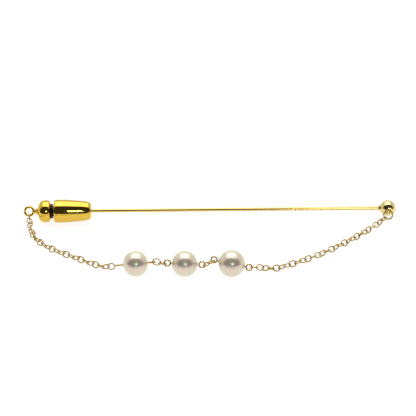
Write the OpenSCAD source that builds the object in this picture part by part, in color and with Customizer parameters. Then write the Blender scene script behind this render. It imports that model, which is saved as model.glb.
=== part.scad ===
// Stick pin with a ball-lock clutch, a cable chain and three beads on eye pins.
// Origin on the pin's axis at mid length, head towards +X, table top at z = -2.5, +Z up.

/* [Pin] */
// diameter of the wire
wire_d = 0.75; // [0.7:0.01:0.77]
// diameter of the head ball
head_d = 3.4; // [3.3:0.05:3.5]

/* [Clutch] */
// diameter of the barrel
barrel_d = 5.0; // [4.9:0.05:5.2]
// diameter of the pull knob
knob_d = 4.84; // [4.7:0.02:5.0]
// diameter of the lock balls
ball_d = 0.8; // [0.78:0.01:0.8]

/* [Beads] */
// diameter of the bead nearest the clutch
bead_1_d = 5.2; // [5.16:0.02:5.24]
// diameter of the middle bead
bead_2_d = 5.3; // [5.26:0.02:5.34]
// diameter of the bead nearest the head
bead_3_d = 5.5; // [5.46:0.02:5.54]

/* [Chain] */
// wire of the chain links
link_wire = 0.25; // [0.23:0.01:0.26]

/* [Part] */
// which sub-part to show

/* [Hidden] */
$fn = 64;

gold = [0.85, 0.66, 0.25];
pale_gold = [0.88, 0.78, 0.52];
steel = [0.72, 0.72, 0.74];
dark_steel = [0.16, 0.13, 0.11];
nacre = [0.90, 0.86, 0.80];

// pin
nose_x = -25.1;
neck_x = nose_x + 0.2;
point_x = -31.2;
tip_x = -32.6;
head_x = 38.7;
collar_x = head_x - head_d / 2 - 0.5;
tenon_end = head_x - 1;
tenon_r = 0.2;
neck_r = wire_d / 2 - 0.03;
guide_r = wire_d / 2 + 0.055;

// clutch, measured back from the nose
barrel_len = 8;
ramp_start = 1.0;
ramp_end = 3.3;
ramp_slope = 0.1763;
ball_at = 2.4;
ball_off = neck_r + ball_d / 2 + 0.02;
ball_seat_r = ball_off + 0.426;
chamber_r = 1.9;
bush_at = 6.9;
stem_r = 1.1;
tube_r = 0.86;
tube_start = 1.25;
window_r = ball_d / 2 + 0.04;
flange_r = 1.5;
flange_at = 3.5;
flange_end = 3.9;
collar_at = 8.3;
collar_r = 1.6;
knob_at = 8.7;
socket = 0.8;
shank_r = 0.5;
knob_len = 2.8;
knob_end = knob_at + knob_len;
eyelet_at = 13.4;
eyelet_r = 0.93;
eyelet_wire = 0.52;
eyelet_tilt = 60;

// spring
spring_r = 1.45;
spring_wire = 0.2;
spring_turns = 5;
spring_from = 4.05;
spring_to = 6.75;
spring_steps = 20;
spring_sides = 8;

// chain
link_len = 1.85;
link_wid = 1.46;
pitch = 1.265;

// rings and loops
loop_r = 0.62;
loop_wire = 0.32;
loop_gap = 0.12;
loop_out = loop_r + loop_wire / 2;
stem_wire = 0.28;
bead_gap = 0.06;
ring_r = 0.95;
ring_wire = 0.32;
head_loop_r = 0.55;
head_loop_at = [38.95, -1.95, 0.4];
head_loop_turn = -35;
ring_tilt = 76.1;

// headings and slopes along the two chains, as [link number, degrees]
left_headings = [[0, 277], [4, 284], [8, 309], [12, 325], [16, 327], [20, 326], [23, 341]];
left_slopes = [[0, -15], [2, -8], [5, 0], [19, 0], [21, 5], [23, 18]];
left_count = 24;
left_roll = 90;
left_roll_step = 62;
right_headings = [[0, 225], [5, 225], [10, 222], [15, 217], [20, 209], [25, 205], [28, 187]];
right_slopes = [[0, -11], [2, -5], [5, 0], [23, 0], [26, 21.2], [28, 6]];
right_count = 29;
right_roll = 30;
right_roll_step = 64.3;

// unit vector at a heading and a slope
function ahead(h, s) = [cos(h) * cos(s), sin(h) * cos(s), sin(s)];

// heading and slope at a place along a chain
function way(turns, slopes, i) = ahead(lookup(i, turns), lookup(i, slopes));

// centre of every link of a chain
function run(p, turns, slopes, count) = [
  for (i = 0, q = p; i < count; q = q + pitch * way(turns, slopes, i + 0.5), i = i + 1) q
];

// a place on the head ring: angle 0 is +X, 90 is up the ring's tilted face
function on_ring(centre, a) =
  centre + ring_r * [cos(a), sin(a) * cos(ring_tilt), sin(a) * sin(ring_tilt)];

eyelet_low = [nose_x - eyelet_at, -eyelet_r * cos(eyelet_tilt), -eyelet_r * sin(eyelet_tilt)];
left_start = eyelet_low + 0.37 * way(left_headings, left_slopes, 0);
left_at = run(left_start, left_headings, left_slopes, left_count);

ring_centre = head_loop_at - on_ring([0, 0, 0], 67.7);
right_start = on_ring(ring_centre, 225) + 0.47 * way(right_headings, right_slopes, 0);
right_at = run(right_start, right_headings, right_slopes, right_count);

// the beaded strand: the heading and slope of each bead's axis,
// and how far the loops at its head and clutch ends are rolled about it
axis_3 = [170, 9.1];
axis_2 = [183, 5.5];
axis_1 = [175, -8.4];
rolls_3 = [-45, -74];
rolls_2 = [-73, -65];
rolls_1 = [25.4, 30];
reach_3 = (bead_3_d / 2 + loop_gap + loop_out) * ahead(axis_3[0], axis_3[1]);
reach_2 = (bead_2_d / 2 + loop_gap + loop_out) * ahead(axis_2[0], axis_2[1]);
reach_1 = (bead_1_d / 2 + loop_gap + loop_out) * ahead(axis_1[0], axis_1[1]);

// centres, each found from the one before it, from the head towards the clutch
bead_3_at = right_at[right_count - 1] + 1.04 * ahead(191.5, 5.4) + reach_3;
connector_4_at = bead_3_at + reach_3 + 0.793 * ahead(183.6, -45);
connector_3_at = connector_4_at + 1.073 * ahead(187.8, -21.7);
bead_2_at = connector_3_at + 0.923 * ahead(184.9, -3.7) + reach_2;
connector_2_at = bead_2_at + reach_2 + 0.996 * ahead(183.5, -2.5);
connector_1_at = connector_2_at + 1.238 * ahead(171.4, 12.9);
bead_1_at = connector_1_at + 0.837 * ahead(174.2, -7.7) + reach_1;

// ---- shared shapes ----

// a full ring of round wire about the Z axis
module wire_ring(r, wire) {
  rotate_extrude() translate([r, 0]) circle(d = wire);
}

// places a part at a point, its X axis along a heading and slope, rolled about it
module place(p, h, s, roll) {
  translate(p) rotate([0, -s, h]) rotate([roll, 0, 0]) children();
}

// places a part measured back from the clutch's nose along its own Z axis
module clutch_axis() {
  translate([nose_x, 0, 0]) rotate([0, -90, 0]) children();
}

// one oval cable link lying flat, long way along X
module link() {
  end_r = (link_wid - link_wire) / 2;
  side = link_len / 2 - link_wire / 2 - end_r;
  for (turn = [0, 180]) rotate([0, 0, turn]) {
    translate([side, 0, 0]) rotate([0, 0, -90])
      rotate_extrude(angle = 180) translate([end_r, 0]) circle(d = link_wire);
    translate([-side, end_r, 0]) rotate([0, 90, 0]) cylinder(h = 2 * side, d = link_wire);
  }
}

// three neighbouring links of a chain
module links(at, turns, slopes, group, roll, roll_step) {
  for (i = [3 * group - 3 : min(3 * group - 1, len(at) - 1)])
    place(at[i], lookup(i, turns), lookup(i, slopes), roll + i * roll_step) link();
}

// a wire through a bead with a closed loop at each end, each loop with its own roll
module eye_pin(p, axis, bead_d, rolls) {
  half = bead_d / 2 + loop_gap;
  place(p, axis[0], axis[1], 0) {
    translate([-half - loop_wire / 2, 0, 0]) rotate([0, 90, 0])
      cylinder(h = 2 * half + loop_wire, d = stem_wire);
    for (side = [0, 1]) rotate([rolls[side], 0, 0])
      translate([(2 * side - 1) * (half + loop_out), 0, 0]) wire_ring(loop_r, loop_wire);
  }
}

// a drilled round bead
module bead(p, axis, d) {
  place(p, axis[0], axis[1], 0) rotate([0, 90, 0]) rotate_extrude() difference() {
    circle(d = d);
    translate([stem_wire / 2 + bead_gap - d, -d]) square([d, 2 * d]);
  }
}

// ---- pin ----

module pin_wire() color(gold) {
  translate([neck_x, 0, 0]) rotate([0, 90, 0])
    cylinder(h = collar_x - neck_x, d = wire_d);
  translate([collar_x, 0, 0]) rotate([0, 90, 0])
    cylinder(h = tenon_end - collar_x, r = tenon_r);
  translate([point_x, 0, 0]) rotate([0, 90, 0])
    cylinder(h = neck_x - point_x, r1 = neck_r - 0.01, r2 = neck_r);
  translate([tip_x, 0, 0]) rotate([0, 90, 0])
    cylinder(h = point_x - tip_x, r1 = 0.03, r2 = neck_r - 0.01);
}

// ball with a short collar, drilled for the wire's tenon
module head_ball() color(pale_gold) difference() {
  union() {
    translate([head_x, 0, 0]) sphere(d = head_d);
    translate([collar_x, 0, 0]) rotate([0, 90, 0]) cylinder(h = 1.0, r1 = 0.45, r2 = 1.0);
  }
  translate([head_x - 4, 0, 0]) rotate([0, 90, 0])
    cylinder(h = tenon_end - head_x + 4, r = tenon_r);
}

module head_loop() color(pale_gold) difference() {
  translate(head_loop_at) rotate([0, 0, head_loop_turn]) rotate([0, 90, 0])
    wire_ring(head_loop_r, ring_wire);
  translate([head_x, 0, 0]) sphere(d = head_d);
}

module head_ring() color(gold) {
  translate(ring_centre) rotate([ring_tilt, 0, 0]) wire_ring(ring_r, ring_wire);
}

// ---- clutch ----

module clutch_barrel() color(gold) clutch_axis() difference() {
  body_r = barrel_d / 2;
  rotate_extrude() polygon([
    [0, 0], [1.2, 0], [1.58, 0.1], [1.8, 0.35], [2.0, 0.8], [2.1, 1.25],
    [2.2, 1.9], [body_r, 5.55], [body_r, 7.65], [2.4, 7.88],
    [2.2, barrel_len], [0, barrel_len]
  ]);
  translate([0, 0, -1]) cylinder(h = 3, r = guide_r);
  ramp_low = ball_seat_r - (ball_at - ramp_start) * ramp_slope;
  ramp_high = ball_seat_r + (ramp_end - ball_at) * ramp_slope;
  translate([0, 0, ramp_start])
    cylinder(h = ramp_end - ramp_start, r1 = ramp_low, r2 = ramp_high);
  translate([0, 0, ramp_end]) cylinder(h = 6, r = chamber_r);
}

module clutch_bush() color(gold) clutch_axis() {
  translate([0, 0, bush_at]) difference() {
    cylinder(h = barrel_len - bush_at, r = chamber_r);
    translate([0, 0, -1]) cylinder(h = 4, r = stem_r + 0.06);
  }
}

// round wire wound about the stem, as a swept tube
module clutch_spring() color(steel) clutch_axis() {
  rings = spring_turns * spring_steps;
  rise = (spring_to - spring_from) / rings;
  points = [
    for (i = [0 : rings]) for (j = [0 : spring_sides - 1])
      let (
        a = i * 360 / spring_steps,
        b = j * 360 / spring_sides,
        r = spring_r + spring_wire / 2 * cos(b)
      )
      [r * cos(a), r * sin(a), spring_from + i * rise + spring_wire / 2 * sin(b)]
  ];
  sides = [
    for (i = [0 : rings - 1]) for (j = [0 : spring_sides - 1])
      let (k = (j + 1) % spring_sides, n = spring_sides)
      [i * n + j, i * n + k, (i + 1) * n + k]
  ];
  others = [
    for (i = [0 : rings - 1]) for (j = [0 : spring_sides - 1])
      let (k = (j + 1) % spring_sides, n = spring_sides)
      [i * n + j, (i + 1) * n + k, (i + 1) * n + j]
  ];
  first = [for (j = [spring_sides - 1 : -1 : 0]) j];
  last = [for (j = [0 : spring_sides - 1]) rings * spring_sides + j];
  polyhedron(points, concat(sides, others, [first], [last]));
}

// slotted sleeve that carries the lock balls, with a flange for the spring and a stem
module clutch_cage() color(steel) clutch_axis() difference() {
  union() {
    translate([0, 0, tube_start]) cylinder(h = flange_end - tube_start, r = tube_r);
    translate([0, 0, flange_at]) cylinder(h = flange_end - flange_at, r = flange_r);
    translate([0, 0, flange_end]) cylinder(h = knob_at + socket - flange_end, r = stem_r);
  }
  translate([0, 0, tube_start - 1]) cylinder(h = collar_at - tube_start + 1, r = guide_r);
  for (turn = [0, 120, 240]) rotate([0, 0, turn]) translate([0, 0, ball_at])
    rotate([0, 90, 0]) cylinder(h = 2, r = window_r);
}

module clutch_ball(number) color(steel) clutch_axis() {
  rotate([0, 0, 120 * number - 120]) translate([ball_off, 0, ball_at]) sphere(d = ball_d);
}

// blackened washer between the barrel and the knob
module clutch_collar() color(dark_steel) clutch_axis() translate([0, 0, collar_at])
  difference() {
    cylinder(h = knob_at - collar_at, r = collar_r);
    translate([0, 0, -1]) cylinder(h = 3, r = stem_r);
  }

// bead-shaped pull knob, bored for the stem and for the eyelet's shank
module clutch_knob() color(gold) clutch_axis() difference() {
  translate([0, 0, knob_at]) rotate_extrude() polygon([
    [0, 0], [1.55, 0], [2.1, 0.14], [2.34, 0.5], [knob_d / 2, 1.05], [2.36, 1.6],
    [2.16, 2.1], [1.8, 2.46], [1.3, 2.7], [0.8, knob_len], [0, knob_len]
  ]);
  translate([0, 0, knob_at - 1]) cylinder(h = 1 + socket, r = stem_r);
  translate([0, 0, knob_end - 1]) cylinder(h = 2, r = shank_r);
}

// ring on a flared foot, its face turned up and towards -Y
module clutch_eyelet() color(gold) clutch_axis() {
  translate([0, 0, knob_end - 1]) cylinder(h = 1.2, r = shank_r);
  translate([0, 0, knob_end]) cylinder(h = 0.95, r1 = 0.85, r2 = 0.3);
  translate([0, 0, eyelet_at]) rotate([0, 0, 90 - eyelet_tilt]) rotate([90, 0, 0])
    wire_ring(eyelet_r, eyelet_wire);
}

// ---- chain ----

module left_links(group) color(gold)
  links(left_at, left_headings, left_slopes, group, left_roll, left_roll_step);

module right_links(group) color(gold)
  links(right_at, right_headings, right_slopes, group, right_roll, right_roll_step);

module connector(p, heading, slope, roll) color(gold) place(p, heading, slope, roll) link();

// ---- what is drawn ----

pin_wire();
head_ball();
head_loop();
head_ring();
clutch_barrel();
clutch_bush();
clutch_spring();
clutch_cage();
clutch_ball(1);  // clutch_ball_1
clutch_ball(2);  // clutch_ball_2
clutch_ball(3);  // clutch_ball_3
clutch_collar();
clutch_knob();
clutch_eyelet();
left_links(1);  // left_links_1
left_links(2);  // left_links_2
left_links(3);  // left_links_3
left_links(4);  // left_links_4
left_links(5);  // left_links_5
left_links(6);  // left_links_6
left_links(7);  // left_links_7
left_links(8);  // left_links_8
right_links(1);  // right_links_1
right_links(2);  // right_links_2
right_links(3);  // right_links_3
right_links(4);  // right_links_4
right_links(5);  // right_links_5
right_links(6);  // right_links_6
right_links(7);  // right_links_7
right_links(8);  // right_links_8
right_links(9);  // right_links_9
right_links(10);  // right_links_10
color(gold) eye_pin(bead_3_at, axis_3, bead_3_d, rolls_3);  // eye_pin_3
color(nacre) bead(bead_3_at, axis_3, bead_3_d);  // bead_3
connector(connector_4_at, 165.7, -38.1, 40.2);  // connector_4
connector(connector_3_at, 237.5, -4.8, 17.5);  // connector_3
color(gold) eye_pin(bead_2_at, axis_2, bead_2_d, rolls_2);  // eye_pin_2
color(nacre) bead(bead_2_at, axis_2, bead_2_d);  // bead_2
connector(connector_2_at, 169.8, 1.9, 21.4);  // connector_2
connector(connector_1_at, 182.1, 13, -52.9);  // connector_1
color(gold) eye_pin(bead_1_at, axis_1, bead_1_d, rolls_1);  // eye_pin_1
color(nacre) bead(bead_1_at, axis_1, bead_1_d);  // bead_1
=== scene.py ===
import math

import bpy
from mathutils import Matrix, Vector


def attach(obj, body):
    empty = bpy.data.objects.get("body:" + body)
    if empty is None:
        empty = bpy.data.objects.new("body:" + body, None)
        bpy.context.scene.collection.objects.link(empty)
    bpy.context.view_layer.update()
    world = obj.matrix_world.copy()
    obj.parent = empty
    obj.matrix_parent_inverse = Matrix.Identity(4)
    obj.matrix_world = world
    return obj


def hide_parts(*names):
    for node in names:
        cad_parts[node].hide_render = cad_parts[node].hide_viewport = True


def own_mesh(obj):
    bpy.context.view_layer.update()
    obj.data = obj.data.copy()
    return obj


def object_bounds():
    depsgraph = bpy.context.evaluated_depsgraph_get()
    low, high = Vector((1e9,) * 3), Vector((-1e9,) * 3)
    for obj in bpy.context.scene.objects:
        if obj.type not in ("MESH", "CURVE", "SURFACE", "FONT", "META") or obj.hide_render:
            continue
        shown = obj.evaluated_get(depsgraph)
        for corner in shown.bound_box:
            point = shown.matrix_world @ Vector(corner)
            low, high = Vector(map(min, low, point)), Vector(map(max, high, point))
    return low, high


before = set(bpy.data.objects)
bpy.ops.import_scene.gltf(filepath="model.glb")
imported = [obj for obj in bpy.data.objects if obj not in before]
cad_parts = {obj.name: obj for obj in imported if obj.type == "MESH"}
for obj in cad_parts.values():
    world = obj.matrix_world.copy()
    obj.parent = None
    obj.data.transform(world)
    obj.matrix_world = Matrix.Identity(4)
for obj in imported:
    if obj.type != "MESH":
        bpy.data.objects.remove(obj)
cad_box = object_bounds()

MM = 0.001

# ---------------------------------------------------------------- sizes in mm
WIRE_R = 0.375
GRIP_R = 0.345
HEAD_X, HEAD_R = 38.7, 1.7
FLARE_R, FLARE_X = 0.86, -1.47
TENON_R, TENON_END = 0.2, 37.7
COLLAR_X = HEAD_X - HEAD_R - 0.5
NOSE_X = -25.1
BARREL_LEN, BARREL_R = 8.0, 2.5
GUIDE_R = 0.43
BALL_R, BALL_AT = 0.4, 2.4
BALL_OFF = GRIP_R + BALL_R + 0.02
SEAT_R = BALL_OFF + 0.426
RAMP_START, RAMP_END, RAMP_SLOPE = 1.0, 3.3, 0.1763
CHAMBER_R, BUSH_AT = 1.9, 6.9
STEM_R = 1.1
COLLAR_AT, COLLAR_R = 8.3, 1.6
KNOB_AT, KNOB_LEN, KNOB_R = 8.7, 2.8, 2.42
KNOB_END = KNOB_AT + KNOB_LEN
SOCKET, SHANK_R = 0.8, 0.5
EYELET_AT, EYELET_R, EYELET_WIRE, EYELET_TILT = 13.4, 0.93, 0.52, 60
SPRING_R, SPRING_WIRE, SPRING_TURNS = 1.45, 0.2, 5
SPRING_FROM, SPRING_TO, KNOB_TRAVEL = 4.05, 6.75, 0.8
LINK_LEN, LINK_WID, LINK_WIRE = 1.85, 1.46, 0.25
PITCH = 1.265
LOOP_R, LOOP_WIRE, LOOP_GAP, STEM_WIRE = 0.62, 0.32, 0.12, 0.28
LOOP_OUT = LOOP_R + LOOP_WIRE / 2
BEAD_GAP = 0.06
FIRST_LINK_LEFT, FIRST_LINK_RIGHT = 0.37, 0.47
RING_R, RING_WIRE, RING_TILT = 0.95, 0.32, 76.1
HEAD_LOOP_R, HEAD_LOOP_TURN = 0.55, -35
HEAD_LOOP_AT = Vector((38.95, -1.95, 0.4))

# headings and slopes along the two chains, as (link number, degrees)
LEFT_HEADINGS = ((0, 277), (4, 284), (8, 309), (12, 325), (16, 327), (20, 326), (23, 341))
LEFT_SLOPES = ((0, -15), (2, -8), (5, 0), (19, 0), (21, 5), (23, 18))
LEFT_COUNT, LEFT_ROLL, LEFT_ROLL_STEP = 24, 90, 62
RIGHT_HEADINGS = (
    (0, 225), (5, 225), (10, 222), (15, 217), (20, 209), (25, 205), (28, 187))
RIGHT_SLOPES = ((0, -11), (2, -5), (5, 0), (23, 0), (26, 21.2), (28, 6))
RIGHT_COUNT, RIGHT_ROLL, RIGHT_ROLL_STEP = 29, 30, 64.3


# ---------------------------------------------------------------- places
def ahead(heading, slope):
    h, s = math.radians(heading), math.radians(slope)
    return Vector((math.cos(h) * math.cos(s), math.sin(h) * math.cos(s), math.sin(s)))


def between(i, table):
    for (i0, v0), (i1, v1) in zip(table[:-1], table[1:]):
        if i <= i1:
            return v0 + (v1 - v0) * max(0.0, i - i0) / (i1 - i0)
    return table[-1][1]


def run(start, headings, slopes, count):
    at = [start]
    for i in range(1, count):
        step = ahead(between(i - 0.5, headings), between(i - 0.5, slopes))
        at.append(at[-1] + PITCH * step)
    return at


def on_ring(centre, angle):
    a, t = math.radians(angle), math.radians(RING_TILT)
    out = Vector((math.cos(a), math.sin(a) * math.cos(t), math.sin(a) * math.sin(t)))
    return centre + RING_R * out


def placed(at, heading, slope, roll):
    """A frame at a point with its X axis along a heading and slope, rolled about it."""
    return (
        Matrix.Translation(at)
        @ Matrix.Rotation(math.radians(heading), 4, "Z")
        @ Matrix.Rotation(math.radians(-slope), 4, "Y")
        @ Matrix.Rotation(math.radians(roll), 4, "X")
    )


tilt = math.radians(EYELET_TILT)
EYELET_LOW = Vector((
    NOSE_X - EYELET_AT, -EYELET_R * math.cos(tilt), -EYELET_R * math.sin(tilt)))
LEFT_AT = run(
    EYELET_LOW + FIRST_LINK_LEFT * ahead(LEFT_HEADINGS[0][1], LEFT_SLOPES[0][1]),
    LEFT_HEADINGS, LEFT_SLOPES, LEFT_COUNT)
RING_AT = HEAD_LOOP_AT - on_ring(Vector((0, 0, 0)), 67.7)
RIGHT_AT = run(
    on_ring(RING_AT, 225)
    + FIRST_LINK_RIGHT * ahead(RIGHT_HEADINGS[0][1], RIGHT_SLOPES[0][1]),
    RIGHT_HEADINGS, RIGHT_SLOPES, RIGHT_COUNT)

# beads, their axes, the rolls of the two loops on each wire, and the single links between
BEAD_R = {1: 2.6, 2: 2.65, 3: 2.75}
AXIS = {3: (170, 9.1), 2: (183, 5.5), 1: (175, -8.4)}
LOOP_ROLLS = {3: (-45, -74), 2: (-73, -65), 1: (25.4, 30)}
REACH = {k: (r + LOOP_GAP + LOOP_OUT) * ahead(*AXIS[k]) for k, r in BEAD_R.items()}
BEAD_AT, LINK_AT = {}, {}
BEAD_AT[3] = RIGHT_AT[-1] + 1.04 * ahead(191.5, 5.4) + REACH[3]
LINK_AT[4] = BEAD_AT[3] + REACH[3] + 0.793 * ahead(183.6, -45)
LINK_AT[3] = LINK_AT[4] + 1.073 * ahead(187.8, -21.7)
BEAD_AT[2] = LINK_AT[3] + 0.923 * ahead(184.9, -3.7) + REACH[2]
LINK_AT[2] = BEAD_AT[2] + REACH[2] + 0.996 * ahead(183.5, -2.5)
LINK_AT[1] = LINK_AT[2] + 1.238 * ahead(171.4, 12.9)
BEAD_AT[1] = LINK_AT[1] + 0.837 * ahead(174.2, -7.7) + REACH[1]
LINK_TURN = {
    4: (165.7, -38.1, 40.2), 3: (237.5, -4.8, 17.5),
    2: (169.8, 1.9, 21.4), 1: (182.1, 13, -52.9)}


# ---------------------------------------------------------------- meshes
class Shape:
    """Vertices in mm and faces, added to piece by piece."""

    def __init__(self):
        self.points, self.faces = [], []

    def grid(self, rows, closed_u, closed_v, frame_m=Matrix()):
        """A grid of points, rows along u and columns along v, closed either way."""
        first, n = len(self.points), len(rows[0])
        for row in rows:
            self.points += [frame_m @ Vector(p) for p in row]
        rows_n = len(rows)
        for i in range(rows_n if closed_u else rows_n - 1):
            for j in range(n if closed_v else n - 1):
                a, b = i, (i + 1) % rows_n
                c, d = j, (j + 1) % n
                self.faces.append([first + k for k in (
                    a * n + c, a * n + d, b * n + d, b * n + c)])
        return first

    def cap(self, indices):
        self.faces.append(list(indices))


def tube(shape, path, radius, sides, closed, frame_m=Matrix(), up=Vector((0, 0, 1))):
    """A round tube along a path of points, with a steady up direction."""
    rows, n = [], len(path)
    for i, p in enumerate(path):
        before = path[i - 1] if closed or i else path[i]
        after = path[(i + 1) % n] if closed or i < n - 1 else path[i]
        along = (after - before).normalized()
        side = along.cross(up).normalized()
        top = side.cross(along)
        rows.append([
            p + radius * (math.cos(a) * side + math.sin(a) * top)
            for a in (2 * math.pi * j / sides for j in range(sides))])
    first = shape.grid(rows, closed, True, frame_m)
    if not closed:
        shape.cap(reversed(range(first, first + sides)))
        shape.cap(range(first + (n - 1) * sides, first + n * sides))


def lathe(shape, profile, turns, frame_m=Matrix()):
    """Turns (radius, height) points about Z. Ends on the axis close to a point."""
    rows = []
    for r, z in profile:
        rows.append([
            (r * math.cos(a), r * math.sin(a), z)
            for a in (2 * math.pi * j / turns for j in range(turns))])
    inner = [row for (r, _), row in zip(profile, rows) if r > 1e-6]
    first = shape.grid(inner, False, True, frame_m)
    for at_end in (0, -1):
        if profile[at_end][0] <= 1e-6:
            tip = len(shape.points)
            shape.points.append(frame_m @ Vector((0, 0, profile[at_end][1])))
            base = first if at_end == 0 else first + (len(inner) - 1) * turns
            for j in range(turns):
                k = (j + 1) % turns
                face = [tip, base + k, base + j] if at_end == 0 else [tip, base + j, base + k]
                shape.faces.append(face)


def ring_path(radius, steps):
    return [
        Vector((radius * math.cos(a), radius * math.sin(a), 0))
        for a in (2 * math.pi * i / steps for i in range(steps))]


def link_path(steps=14):
    end_r = (LINK_WID - LINK_WIRE) / 2
    side = LINK_LEN / 2 - LINK_WIRE / 2 - end_r
    path = []
    for centre, start in ((side, -90), (-side, 90)):
        for i in range(steps + 1):
            a = math.radians(start + 180 * i / steps)
            path.append(Vector((centre + end_r * math.cos(a), end_r * math.sin(a), 0)))
    return path


def smooth_profile(points, steps=6):
    """A smooth curve through (radius, height) points."""
    out = []
    for i in range(len(points) - 1):
        p0 = points[max(i - 1, 0)]
        p1, p2 = points[i], points[i + 1]
        p3 = points[min(i + 2, len(points) - 1)]
        for s in range(steps):
            t = s / steps
            out.append(tuple(
                0.5 * (2 * b + (c - a) * t + (2 * a - 5 * b + 4 * c - d) * t * t
                       + (3 * b - a - 3 * c + d) * t ** 3)
                for a, b, c, d in zip(p0, p1, p2, p3)))
    out.append(points[-1])
    return out


def finish_piece(name, shape, node, body, material, angle=40):
    mesh = bpy.data.meshes.new(name)
    mesh.from_pydata([Vector(p) * MM for p in shape.points], [], shape.faces)
    mesh.validate()
    piece = bpy.data.objects.new(name, mesh)
    bpy.context.collection.objects.link(piece)
    mesh.materials.append(material)
    bpy.context.view_layer.objects.active = piece
    piece.select_set(True)
    bpy.ops.object.mode_set(mode="EDIT")
    bpy.ops.mesh.select_all(action="SELECT")
    bpy.ops.mesh.normals_make_consistent(inside=False)
    bpy.ops.object.mode_set(mode="OBJECT")
    bpy.ops.object.shade_smooth_by_angle(angle=math.radians(angle))
    piece.select_set(False)
    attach(piece, body)
    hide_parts(node)
    return piece


# ---------------------------------------------------------------- materials
def new_material(name):
    material = bpy.data.materials.new(name)
    material.use_nodes = True
    nodes = material.node_tree.nodes
    return material, nodes, material.node_tree.links, nodes["Principled BSDF"]


def polished_metal(name, colour, second, rough, scratch):
    """Polished metal with faint buffing marks, soft wear and a slight change of tone."""
    material, nodes, links, shader = new_material(name)
    shader.inputs["Metallic"].default_value = 1.0
    place = nodes.new("ShaderNodeTexCoord")
    wear = nodes.new("ShaderNodeTexNoise")
    wear.inputs["Scale"].default_value = 420
    wear.inputs["Detail"].default_value = 4
    tone = nodes.new("ShaderNodeMix")
    tone.data_type = "RGBA"
    tone.inputs["A"].default_value = (*colour, 1)
    tone.inputs["B"].default_value = (*second, 1)
    marks = nodes.new("ShaderNodeTexNoise")
    marks.inputs["Scale"].default_value = 2600
    marks.inputs["Detail"].default_value = 5
    stretch = nodes.new("ShaderNodeMapping")
    stretch.inputs["Scale"].default_value = (0.12, 1, 1)
    spread = nodes.new("ShaderNodeMapRange")
    spread.inputs["To Min"].default_value = rough * 0.7
    spread.inputs["To Max"].default_value = rough * 1.6
    bump = nodes.new("ShaderNodeBump")
    bump.inputs["Strength"].default_value = scratch
    bump.inputs["Distance"].default_value = 0.00001
    links.new(place.outputs["Object"], wear.inputs["Vector"])
    links.new(place.outputs["Object"], stretch.inputs["Vector"])
    links.new(stretch.outputs["Vector"], marks.inputs["Vector"])
    links.new(wear.outputs["Fac"], tone.inputs["Factor"])
    links.new(tone.outputs["Result"], shader.inputs["Base Color"])
    links.new(marks.outputs["Fac"], spread.inputs["Value"])
    links.new(spread.outputs["Result"], shader.inputs["Roughness"])
    links.new(marks.outputs["Fac"], bump.inputs["Height"])
    links.new(bump.outputs["Normal"], shader.inputs["Normal"])
    return material


def nacre(name, seed):
    """Pearl: soft metallic sheen under a clear skin, with pink and green orient."""
    material, nodes, links, shader = new_material(name)
    shader.inputs["Metallic"].default_value = 0.60
    shader.inputs["Coat Weight"].default_value = 0.40
    shader.inputs["Coat Roughness"].default_value = 0.10
    place = nodes.new("ShaderNodeTexCoord")
    shift = nodes.new("ShaderNodeMapping")
    shift.inputs["Location"].default_value = (seed, 2 * seed, 0)
    cloud = nodes.new("ShaderNodeTexNoise")
    cloud.inputs["Scale"].default_value = 260
    cloud.inputs["Detail"].default_value = 5
    facing = nodes.new("ShaderNodeLayerWeight")
    facing.inputs["Blend"].default_value = 0.4
    mixed = nodes.new("ShaderNodeMath")
    mixed.operation = "MULTIPLY_ADD"
    mixed.inputs[1].default_value = 0.22
    ramp = nodes.new("ShaderNodeValToRGB")
    stops = ramp.color_ramp.elements
    stops[0].position, stops[0].color = 0.10, (0.76, 0.76, 0.58, 1)
    stops[1].position, stops[1].color = 1.0, (0.72, 0.75, 0.46, 1)
    for position, colour in ((0.26, (0.84, 0.68, 0.58, 1)), (0.48, (0.78, 0.71, 0.54, 1))):
        stop = ramp.color_ramp.elements.new(position)
        stop.color = colour
    rough = nodes.new("ShaderNodeMapRange")
    rough.inputs["To Min"].default_value = 0.29
    rough.inputs["To Max"].default_value = 0.37
    bump = nodes.new("ShaderNodeBump")
    bump.inputs["Strength"].default_value = 0.08
    bump.inputs["Distance"].default_value = 0.00003
    links.new(place.outputs["Object"], shift.inputs["Vector"])
    links.new(shift.outputs["Vector"], cloud.inputs["Vector"])
    links.new(cloud.outputs["Fac"], mixed.inputs[0])
    links.new(facing.outputs["Facing"], mixed.inputs[2])
    links.new(mixed.outputs["Value"], ramp.inputs["Fac"])
    links.new(ramp.outputs["Color"], shader.inputs["Base Color"])
    links.new(cloud.outputs["Fac"], rough.inputs["Value"])
    links.new(rough.outputs["Result"], shader.inputs["Roughness"])
    links.new(cloud.outputs["Fac"], bump.inputs["Height"])
    links.new(bump.outputs["Normal"], shader.inputs["Normal"])
    return material


GOLD = polished_metal("gold", (0.76, 0.51, 0.075), (0.72, 0.47, 0.062), 0.07, 0.05)
PALE = polished_metal("pale_gold", (0.78, 0.64, 0.30), (0.74, 0.60, 0.27), 0.12, 0.05)
WIRE = polished_metal("wire_gold", (0.74, 0.54, 0.18), (0.70, 0.50, 0.16), 0.07, 0.05)
# the links, ring and eye wires are the same gold as the pin, painted darker as painted shade
# for the dark surroundings they reflect
LINK_GOLD_SHADED = polished_metal("link_gold", (0.52, 0.35, 0.062), (0.46, 0.30, 0.050), 0.10, 0.08)
STEEL = polished_metal("steel", (0.62, 0.61, 0.60), (0.55, 0.54, 0.53), 0.22, 0.15)
# near-black metal: painted shade for the narrow neck between barrel and knob
NECK_SHADE_DARK = polished_metal("neck_painted_shade", (0.030, 0.024, 0.018), (0.022, 0.018, 0.014), 0.30, 0.20)
PEARLS = {k: nacre("nacre_%d" % k, 0.013 * k) for k in BEAD_R}

# ---------------------------------------------------------------- pin
along_x = Matrix.Rotation(math.radians(90), 4, "Y")

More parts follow.
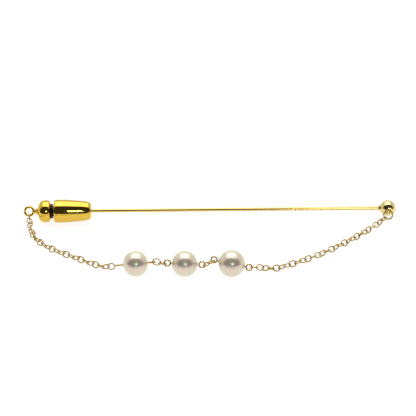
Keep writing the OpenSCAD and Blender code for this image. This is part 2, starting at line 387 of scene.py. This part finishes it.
shape = Shape()
lathe(shape, [
    (0, -32.6), (0.03, -32.59), (0.12, -32.25), (0.24, -31.7), (0.31, -31.35),
    (GRIP_R - 0.01, -31.1), (GRIP_R, -24.92), (WIRE_R, -24.88), (WIRE_R, COLLAR_X),
    (TENON_R, COLLAR_X), (TENON_R, TENON_END), (0, TENON_END)], 48, along_x)
finish_piece("pin_wire_fine", shape, "pin_wire", "pin", WIRE, 30)

shape = Shape()
bore = TENON_R + 0.005
profile = [
    (0, -1.0), (bore, -1.0), (bore, -2.2), (0.45, -2.2), (0.50, -2.08), (0.60, -1.9),
    (0.78, -1.62)]
flare_meets_ball = math.degrees(math.atan2(FLARE_R, FLARE_X))
for i in range(41):
    a = math.radians(flare_meets_ball * (1 - i / 40))
    profile.append((HEAD_R * math.sin(a), HEAD_R * math.cos(a)))
profile[-1] = (0, HEAD_R)
lathe(shape, profile, 96, Matrix.Translation((HEAD_X, 0, 0)) @ along_x)
finish_piece("head_ball_fine", shape, "head_ball", "pin", PALE, 50)

shape = Shape()
turn = (
    Matrix.Translation(HEAD_LOOP_AT)
    @ Matrix.Rotation(math.radians(HEAD_LOOP_TURN), 4, "Z") @ along_x)
tube(shape, ring_path(HEAD_LOOP_R, 64), RING_WIRE / 2, 20, True, turn)
finish_piece("head_loop_fine", shape, "head_loop", "pin", PALE)

shape = Shape()
turn = Matrix.Translation(RING_AT) @ Matrix.Rotation(math.radians(RING_TILT), 4, "X")
tube(shape, ring_path(RING_R, 80), RING_WIRE / 2, 20, True, turn)
# the head ring takes the darker link gold, painted shade
finish_piece("head_ring_fine", shape, "head_ring", "head_ring", LINK_GOLD_SHADED)

# ---------------------------------------------------------------- clutch
clutch = Matrix.Translation((NOSE_X, 0, 0)) @ Matrix.Rotation(math.radians(-90), 4, "Y")

nose = smooth_profile([
    (1.2, 0), (1.58, 0.1), (1.8, 0.35), (2.0, 0.8), (2.1, 1.25), (2.2, 1.9)], 8)
waist = [(2.44, 4.75), (2.475, 5.15), (2.493, 5.5), (BARREL_R, 5.9)]
ramp_low = SEAT_R - (BALL_AT - RAMP_START) * RAMP_SLOPE
ramp_high = SEAT_R + (RAMP_END - BALL_AT) * RAMP_SLOPE
shape = Shape()
lathe(shape, [
    (CHAMBER_R + 0.002, BARREL_LEN), (CHAMBER_R + 0.002, RAMP_END), (ramp_high, RAMP_END),
    (ramp_low, RAMP_START), (GUIDE_R, RAMP_START), (GUIDE_R, 0.06), (GUIDE_R + 0.06, 0),
    ] + nose + waist + [
    (BARREL_R, 7.3), (BARREL_R, 7.55), (2.485, 7.66), (2.44, 7.8), (2.36, 7.9), (2.24, 7.97),
    (2.1, BARREL_LEN), (CHAMBER_R + 0.002, BARREL_LEN)], 128, clutch)
finish_piece("barrel_fine", shape, "clutch_barrel", "barrel", GOLD, 35)

shape = Shape()
bush_r = STEM_R + 0.06
lathe(shape, [
    (bush_r, BUSH_AT), (CHAMBER_R, BUSH_AT), (CHAMBER_R, 7.94), (CHAMBER_R - 0.06, BARREL_LEN),
    (bush_r + 0.05, BARREL_LEN), (bush_r, 7.95), (bush_r, BUSH_AT)], 96, clutch)
finish_piece("bush_fine", shape, "clutch_bush", "barrel", GOLD, 35)

shape = Shape()
turn_steps = 40
steps = SPRING_TURNS * turn_steps
tube(shape, [
    Vector((
        SPRING_R * math.cos(2 * math.pi * i / turn_steps),
        SPRING_R * math.sin(2 * math.pi * i / turn_steps),
        SPRING_FROM + (SPRING_TO - SPRING_FROM) * i / steps))
    for i in range(steps + 1)], SPRING_WIRE / 2, 14, False, clutch)
spring = finish_piece("spring_fine", shape, "clutch_spring", "barrel", STEEL)
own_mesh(spring)

for k in (1, 2, 3):
    shape = Shape()
    spot = clutch @ Matrix.Rotation(math.radians(120 * k - 120), 4, "Z") \
        @ Matrix.Translation((BALL_OFF, 0, BALL_AT))
    lathe(shape, [
        (BALL_R * math.sin(math.pi * i / 24), -BALL_R * math.cos(math.pi * i / 24))
        if 0 < i < 24 else (0, BALL_R * (1 if i else -1)) for i in range(25)], 48, spot)
    finish_piece("lock_ball_%d" % k, shape, "clutch_ball_%d" % k, "ball_%d" % k, STEEL)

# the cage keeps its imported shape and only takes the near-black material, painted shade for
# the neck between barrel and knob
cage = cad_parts["clutch_cage"]
cage.data.materials.clear()
cage.data.materials.append(NECK_SHADE_DARK)

shape = Shape()
knob = smooth_profile([
    (1.55, 0), (2.1, 0.14), (2.34, 0.5), (KNOB_R, 1.05), (2.36, 1.6),
    (2.16, 2.1), (1.8, 2.46), (1.3, 2.7), (0.8, KNOB_LEN)], 8)
lathe(shape, [
    (0, KNOB_AT + SOCKET), (STEM_R + 0.002, KNOB_AT + SOCKET), (STEM_R + 0.002, KNOB_AT)]
    + [(r, KNOB_AT + z) for r, z in knob]
    + [(SHANK_R + 0.002, KNOB_END), (SHANK_R + 0.002, KNOB_END - 1), (0, KNOB_END - 1)],
    128, clutch)
finish_piece("knob_fine", shape, "clutch_knob", "core", GOLD, 35)

shape = Shape()
hole = STEM_R + 0.002
lathe(shape, [
    (hole, COLLAR_AT), (COLLAR_R - 0.06, COLLAR_AT), (COLLAR_R, COLLAR_AT + 0.06),
    (COLLAR_R, KNOB_AT - 0.06), (COLLAR_R - 0.06, KNOB_AT), (hole, KNOB_AT),
    (hole, COLLAR_AT)], 96, clutch)
# the collar takes the same near-black painted shade of the neck
finish_piece("collar_fine", shape, "clutch_collar", "core", NECK_SHADE_DARK, 35)

shape = Shape()
lathe(shape, [
    (0, KNOB_END - 1), (SHANK_R, KNOB_END - 1), (SHANK_R, KNOB_END), (0.84, KNOB_END),
    (0.85, KNOB_END + 0.06), (0.74, KNOB_END + 0.2), (0.56, KNOB_END + 0.45),
    (0.40, KNOB_END + 0.75), (0.30, KNOB_END + 0.95), (0, KNOB_END + 0.95)], 64, clutch)
turn = clutch @ Matrix.Translation((0, 0, EYELET_AT)) \
    @ Matrix.Rotation(math.radians(90 - EYELET_TILT), 4, "Z") \
    @ Matrix.Rotation(math.radians(90), 4, "X")
tube(shape, ring_path(EYELET_R, 80), EYELET_WIRE / 2, 24, True, turn)
finish_piece("eyelet_fine", shape, "clutch_eyelet", "core", GOLD)


# ---------------------------------------------------------------- chain
def add_links(name, node, body, frames):
    shape = Shape()
    for frame_m in frames:
        tube(shape, link_path(), LINK_WIRE / 2, 14, True, frame_m)
    # links take the darker link gold, painted shade
    finish_piece(name, shape, node, body, LINK_GOLD_SHADED, 60)


for side, at, headings, slopes, roll, roll_step in (
        ("left", LEFT_AT, LEFT_HEADINGS, LEFT_SLOPES, LEFT_ROLL, LEFT_ROLL_STEP),
        ("right", RIGHT_AT, RIGHT_HEADINGS, RIGHT_SLOPES, RIGHT_ROLL, RIGHT_ROLL_STEP)):
    for group in range(math.ceil(len(at) / 3)):
        links = [
            placed(at[i], between(i, headings), between(i, slopes), roll + i * roll_step)
            for i in range(3 * group, min(3 * group + 3, len(at)))]
        add_links(
            "%s_chain_%d" % (side, group + 1), "%s_links_%d" % (side, group + 1),
            "%s_%d" % (side, group + 1), links)

for k, (heading, slope, roll) in LINK_TURN.items():
    add_links("single_link_%d" % k, "connector_%d" % k, "link_%d" % k,
              [placed(LINK_AT[k], heading, slope, roll)])

# ---------------------------------------------------------------- pearls on their wires
for k, radius in BEAD_R.items():
    half = radius + LOOP_GAP
    frame_m = placed(BEAD_AT[k], *AXIS[k], 0)
    shape = Shape()
    tube(shape, [Vector((x, 0, 0)) for x in (-half - 0.16, 0, half + 0.16)],
         STEM_WIRE / 2, 20, False, frame_m)
    for side, roll in zip((-1, 1), LOOP_ROLLS[k]):
        turn = frame_m @ Matrix.Rotation(math.radians(roll), 4, "X")
        tube(shape, ring_path(LOOP_R, 56), LOOP_WIRE / 2, 18, True,
             turn @ Matrix.Translation((side * (half + LOOP_OUT), 0, 0)))
    # the eye wires take the darker link gold, painted shade
    finish_piece("eye_wire_%d" % k, shape, "eye_pin_%d" % k, "eye_%d" % k, LINK_GOLD_SHADED)

    bore = STEM_WIRE / 2 + BEAD_GAP
    edge = math.degrees(math.asin((bore + 0.03) / radius))
    profile = [(bore, -radius * 0.98), (bore, radius * 0.98)]
    for i in range(81):
        a = math.radians(edge + (180 - 2 * edge) * i / 80)
        profile.append((radius * math.sin(a), radius * math.cos(a)))
    profile.append(profile[0])
    shape = Shape()
    lathe(shape, profile, 160, frame_m @ along_x)
    finish_piece("pearl_%d" % k, shape, "bead_%d" % k, "bead_%d" % k, PEARLS[k], 50)

# ---------------------------------------------------------------- stage, light and camera
bpy.ops.mesh.primitive_plane_add(size=6, location=(0, 0, cad_box[0][2] - 0.00002))
floor = bpy.context.object
floor.name = "floor"
paper, _, _, shader = new_material("paper")
shader.inputs["Base Color"].default_value = (0.22, 0.22, 0.22, 1)
shader.inputs["Roughness"].default_value = 0.9
shader.inputs["Emission Color"].default_value = (1, 1, 1, 1)
shader.inputs["Emission Strength"].default_value = 0.88
floor.data.materials.append(paper)

# a pale tent all round, open on the side the picture is taken from
world = bpy.data.worlds.new("studio")
bpy.context.scene.world = world
world.use_nodes = True
tree = world.node_tree
towards = tree.nodes.new("ShaderNodeTexCoord")
parts = tree.nodes.new("ShaderNodeSeparateXYZ")
front = tree.nodes.new("ShaderNodeMapRange")
low = tree.nodes.new("ShaderNodeMapRange")
opening = tree.nodes.new("ShaderNodeMath")
opening.operation = "MULTIPLY"
tent = tree.nodes.new("ShaderNodeMapRange")
for step, start, end in ((front, -0.06, -0.18), (low, 0.995, 0.975)):
    step.interpolation_type = "SMOOTHSTEP"
    step.inputs["From Min"].default_value = start
    step.inputs["From Max"].default_value = end
tent.inputs["To Min"].default_value = 0.80
tent.inputs["To Max"].default_value = 0.045
tree.links.new(towards.outputs["Generated"], parts.inputs["Vector"])
tree.links.new(parts.outputs["Y"], front.inputs["Value"])
tree.links.new(parts.outputs["Z"], low.inputs["Value"])
tree.links.new(front.outputs["Result"], opening.inputs[0])
tree.links.new(low.outputs["Result"], opening.inputs[1])
tree.links.new(opening.outputs["Value"], tent.inputs["Value"])
tree.links.new(tent.outputs["Result"], tree.nodes["Background"].inputs["Strength"])
tree.nodes["Background"].inputs["Color"].default_value = (1.0, 0.98, 0.95, 1)


def panel(name, at, target, width, depth, radiance):
    light = bpy.data.lights.new(name, "AREA")
    light.shape = "RECTANGLE"
    light.size, light.size_y = width, depth
    light.energy = radiance * math.pi * width * depth
    lamp = bpy.data.objects.new(name, light)
    bpy.context.collection.objects.link(lamp)
    lamp.location = at
    lamp.rotation_euler = (Vector(target) - Vector(at)).to_track_quat("-Z", "Y").to_euler()
    return lamp


panel("overhead", (0, 0.198, 0.40), (0, 0.198, 0), 0.50, 0.53, 1.60)
panel("near_camera", (0.245, -1.77, 0.92), (0, 0, 0), 0.24, 0.30, 14.0)

ELEVATION, DISTANCE, ROLL = math.radians(30), 0.35, math.radians(0.535)
aim = Vector((0, 0, 0.00043))
view = Vector((0, math.cos(ELEVATION), -math.sin(ELEVATION)))
rise = Vector((0, math.sin(ELEVATION), math.cos(ELEVATION)))
level = Vector((1, 0, 0))
right = math.cos(ROLL) * level - math.sin(ROLL) * rise
up = math.cos(ROLL) * rise + math.sin(ROLL) * level
camera_data = bpy.data.cameras.new("camera")
camera_data.sensor_width = 36
camera_data.lens = 140.8
camera_data.clip_start = 0.01
camera = bpy.data.objects.new("camera", camera_data)
bpy.context.collection.objects.link(camera)
place = aim - DISTANCE * view
camera.matrix_world = Matrix((
    (right.x, up.x, -view.x, place.x),
    (right.y, up.y, -view.y, place.y),
    (right.z, up.z, -view.z, place.z),
    (0, 0, 0, 1)))
bpy.context.scene.camera = camera
bpy.context.scene.view_settings.view_transform = "Standard"
